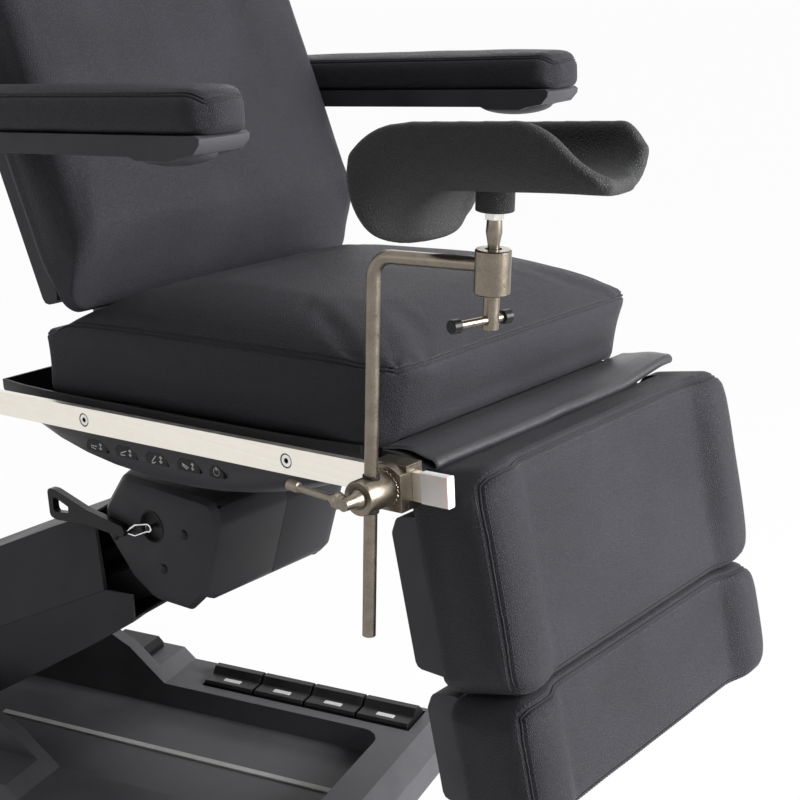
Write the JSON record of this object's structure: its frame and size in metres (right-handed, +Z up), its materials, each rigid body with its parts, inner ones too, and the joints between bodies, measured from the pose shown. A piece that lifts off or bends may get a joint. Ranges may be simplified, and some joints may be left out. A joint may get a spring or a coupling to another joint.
{
  "type": "examination table",
  "caption": "Powered upholstered examination table on a lift arm and turntable, with reclining back, level armrests, drop leg rest and a rail-mounted leg holder.",
  "frame": {"origin": "on the floor under the swivel axis", "axes": "+X the way the seat faces (foot end), +Z up; the side with the rail and the leg holder is -Y"},
  "size_m": [1.7189, 0.8614, 1.6411],
  "materials": {
    "vinyl": "charcoal grained vinyl upholstery",
    "shell_plastic": "dark grained moulding",
    "black_plastic": "black satin moulding",
    "pale_trim": "pale grey strip",
    "frosted_cap": "frosted white cap",
    "steel": "plain grey steel",
    "satin_rail": "warm satin rail",
    "bronze_nickel": "bronze nickel, brushed",
    "chrome": "bright wire"
  },
  "bodies": {
    "base": {"base_plate": "steel", "base_cover": "shell_plastic", "tray_trim": "pale_trim", "pivot_bracket": "steel", "arm_shaft": "steel", "pedal_shaft": "steel"},
    "lift_arm": {"lift_beam": "steel", "arm_cover_lower": "shell_plastic", "arm_cover_upper": "shell_plastic"},
    "parallel_link": {"parallel_link": "steel"},
    "lift_head": {"head_yoke": "steel", "swivel_bearing": "steel"},
    "swivel": {"turntable": "steel", "housing_near": "shell_plastic", "housing_far": "shell_plastic"},
    "swivel_lock": {"lock_handle": "black_plastic", "wire_bail": "chrome"},
    "seat": {"seat_frame": "steel", "seat_shroud": "shell_plastic", "seat_cushion": "vinyl", "side_rail": "satin_rail", "rail_end_cap": "frosted_cap", "rail_screw_1": "steel", "rail_screw_2": "steel", "vinyl_flap": "vinyl"},
    "back": {"back_frame": "steel", "back_shell": "shell_plastic", "back_cushion": "vinyl"},
    "armrest_near": {"armrest_shell_near": "shell_plastic", "armrest_pad_near": "vinyl"},
    "armrest_far": {"armrest_shell_far": "shell_plastic", "armrest_pad_far": "vinyl"},
    "leg_rest": {"leg_frame": "steel", "leg_shell_upper": "shell_plastic", "leg_pad_upper": "vinyl"},
    "leg_extension": {"leg_shell_lower": "shell_plastic", "leg_pad_lower": "vinyl"},
    "rail_clamp": {"clamp_rear_jaw": "bronze_nickel", "clamp_front_jaw": "bronze_nickel"},
    "clamp_sleeve": {"clamp_sleeve": "bronze_nickel"},
    "lock_lever": {"lock_lever": "bronze_nickel"},
    "rod_bush": {"rod_bush": "bronze_nickel"},
    "leg_rod": {"leg_rod": "bronze_nickel", "ball_barrel": "bronze_nickel"},
    "ball_cup": {"pressure_cup": "steel"},
    "ball_stud": {"ball_stud": "bronze_nickel"},
    "crutch": {"crutch": "black_plastic"},
    "tee_screw": {"tee_screw": "bronze_nickel"},
    "tommy_bar": {"tommy_bar": "bronze_nickel"},
    "foot_pedal_1": {"foot_pedal_1": "black_plastic"},
    "foot_pedal_2": {"foot_pedal_2": "black_plastic"},
    "foot_pedal_3": {"foot_pedal_3": "black_plastic"},
    "foot_pedal_4": {"foot_pedal_4": "black_plastic"},
    "stop_pedal": {"stop_pedal": "black_plastic"},
    "button_1": {"button_1": "black_plastic"},
    "button_2": {"button_2": "black_plastic"},
    "button_3": {"button_3": "black_plastic"},
    "button_4": {"button_4": "black_plastic"},
    "button_5": {"button_5": "black_plastic"}
  },
  "joints": [
    {"name": "pedal_1_rock", "type": "hinge", "parent": "base", "child": "foot_pedal_1", "pos_m": [-0.19594, 0.17681, 0.07], "axis": [0.9659, 0.2588, 0], "range_deg": [-4, 4], "stiffness_Nm_per_rad": 8},
    {"name": "pedal_2_rock", "type": "hinge", "parent": "base", "child": "foot_pedal_2", "pos_m": [-0.09645, 0.20347, 0.07], "axis": [0.9659, 0.2588, 0], "range_deg": [-4, 4], "stiffness_Nm_per_rad": 8},
    {"name": "pedal_3_rock", "type": "hinge", "parent": "base", "child": "foot_pedal_3", "pos_m": [0.00304, 0.23013, 0.07], "axis": [0.9659, 0.2588, 0], "range_deg": [-4, 4], "stiffness_Nm_per_rad": 8},
    {"name": "pedal_4_rock", "type": "hinge", "parent": "base", "child": "foot_pedal_4", "pos_m": [0.10253, 0.25679, 0.07], "axis": [0.9659, 0.2588, 0], "range_deg": [-4, 4], "stiffness_Nm_per_rad": 8},
    {"name": "stop_pedal_press", "type": "slide", "parent": "base", "child": "stop_pedal", "axis": [0, 0, -1], "range_m": [0, 0.005], "stiffness_N_per_m": 2500, "springref_m": -0.003},
    {"name": "lift", "type": "hinge", "parent": "base", "child": "lift_arm", "pos_m": [-0.61819, -0.16564, 0.175], "axis": [0.2588, -0.9659, 0], "range_deg": [-12, 15]},
    {"name": "link_swing", "type": "hinge", "parent": "base", "child": "parallel_link", "pos_m": [-0.61819, -0.16564, 0.235], "axis": [0.2588, -0.9659, 0], "range_deg": [-12, 15]},
    {"name": "head_level", "type": "hinge", "parent": "lift_arm", "child": "lift_head", "pos_m": [0, 0, 0.465], "axis": [0.2588, -0.9659, 0], "range_deg": [-15, 12]},
    {"name": "swivel_turn", "type": "hinge", "parent": "lift_head", "child": "swivel", "pos_m": [0, 0, 0.465], "axis": [0, 0, 1], "range_deg": [-15, 45]},
    {"name": "lock_swing", "type": "hinge", "parent": "swivel", "child": "swivel_lock", "pos_m": [-0.035, -0.1575, 0.539], "axis": [0, 0, -1], "range_deg": [-20, 0]},
    {"name": "seat_tilt", "type": "hinge", "parent": "swivel", "child": "seat", "pos_m": [0, 0, 0.69], "axis": [0, -1, 0], "range_deg": [-3.7, 12]},
    {"name": "button_1_press", "type": "slide", "parent": "seat", "child": "button_1", "axis": [0, 1, 0], "range_m": [0, 0.0015], "stiffness_N_per_m": 900, "springref_m": -0.0005},
    {"name": "button_2_press", "type": "slide", "parent": "seat", "child": "button_2", "axis": [0, 1, 0], "range_m": [0, 0.0015], "stiffness_N_per_m": 900, "springref_m": -0.0005},
    {"name": "button_3_press", "type": "slide", "parent": "seat", "child": "button_3", "axis": [0, 1, 0], "range_m": [0, 0.0015], "stiffness_N_per_m": 900, "springref_m": -0.0005},
    {"name": "button_4_press", "type": "slide", "parent": "seat", "child": "button_4", "axis": [0, 1, 0], "range_m": [0, 0.0015], "stiffness_N_per_m": 900, "springref_m": -0.0005},
    {"name": "button_5_press", "type": "slide", "parent": "seat", "child": "button_5", "axis": [0, 1, 0], "range_m": [0, 0.0015], "stiffness_N_per_m": 900, "springref_m": -0.0005},
    {"name": "back_recline", "type": "hinge", "parent": "seat", "child": "back", "pos_m": [-0.06957, 0, 0.75865], "axis": [0, -1, 0], "range_deg": [0, 62]},
    {"name": "armrest_near_level", "type": "hinge", "parent": "back", "child": "armrest_near", "pos_m": [-0.19245, -0.299, 1.15047], "axis": [0, -1, 0], "range_deg": [-62, 0]},
    {"name": "armrest_far_level", "type": "hinge", "parent": "back", "child": "armrest_far", "pos_m": [-0.19245, 0.299, 1.15047], "axis": [0, -1, 0], "range_deg": [-62, 0]},
    {"name": "leg_lift", "type": "hinge", "parent": "seat", "child": "leg_rest", "pos_m": [0.55911, 0, 0.79931], "axis": [0, -1, 0], "range_deg": [0, 72], "deforming": ["vinyl_flap"]},
    {"name": "leg_extend", "type": "slide", "parent": "leg_rest", "child": "leg_extension", "axis": [0.2267, 0, -0.974], "range_m": [0, 0.1]},
    {"name": "clamp_slide", "type": "slide", "parent": "seat", "child": "rail_clamp", "axis": [0.9979, 0, 0.0645], "range_m": [-0.13, 0.01]},
    {"name": "rod_lean", "type": "hinge", "parent": "rail_clamp", "child": "clamp_sleeve", "pos_m": [0.58309, 0, 0.80036], "axis": [0, -1, 0], "range_deg": [-60, 12]},
    {"name": "lever_turn", "type": "hinge", "parent": "clamp_sleeve", "child": "lock_lever", "pos_m": [0.58309, 0, 0.80036], "axis": [0, 1, 0], "range_deg": [-60, 60]},
    {"name": "rod_swing", "type": "hinge", "parent": "clamp_sleeve", "child": "rod_bush", "pos_m": [0.58309, -0.3586, 0.80036], "axis": [0.0227, 0, 0.9997], "range_deg": [-100, 40]},
    {"name": "rod_height", "type": "slide", "parent": "rod_bush", "child": "leg_rod", "axis": [0.0227, 0, 0.9997], "range_m": [-0.1, 0.12]},
    {"name": "cup_turn", "type": "hinge", "parent": "leg_rod", "child": "ball_cup", "pos_m": [0.74778, -0.3586, 1.09301], "axis": [0.0227, 0, 0.9997], "continuous": true},
    {"name": "crutch_tilt", "type": "hinge", "parent": "ball_cup", "child": "ball_stud", "pos_m": [0.74778, -0.3586, 1.09301], "axis": [0.9997, 0, -0.0227], "range_deg": [-12, 12]},
    {"name": "crutch_spin", "type": "hinge", "parent": "ball_stud", "child": "crutch", "pos_m": [0.74892, -0.3586, 1.1433], "axis": [0.0227, 0, 0.9997], "continuous": true},
    {"name": "screw_turn", "type": "hinge", "parent": "leg_rod", "child": "tee_screw", "pos_m": [0.74696, -0.3586, 1.05727], "axis": [0.0227, 0, 0.9997], "continuous": true},
    {"name": "bar_slide", "type": "slide", "parent": "tee_screw", "child": "tommy_bar", "axis": [0.2079, 0.9781, -0.0047], "range_m": [-0.005, 0.033]}
  ],
  "couplings": [
    {"joint": "link_swing", "follows": "lift", "ratio": 1},
    {"joint": "head_level", "follows": "lift", "ratio": -1},
    {"joint": "armrest_near_level", "follows": "back_recline", "ratio": -1},
    {"joint": "armrest_far_level", "follows": "back_recline", "ratio": -1}
  ]
}
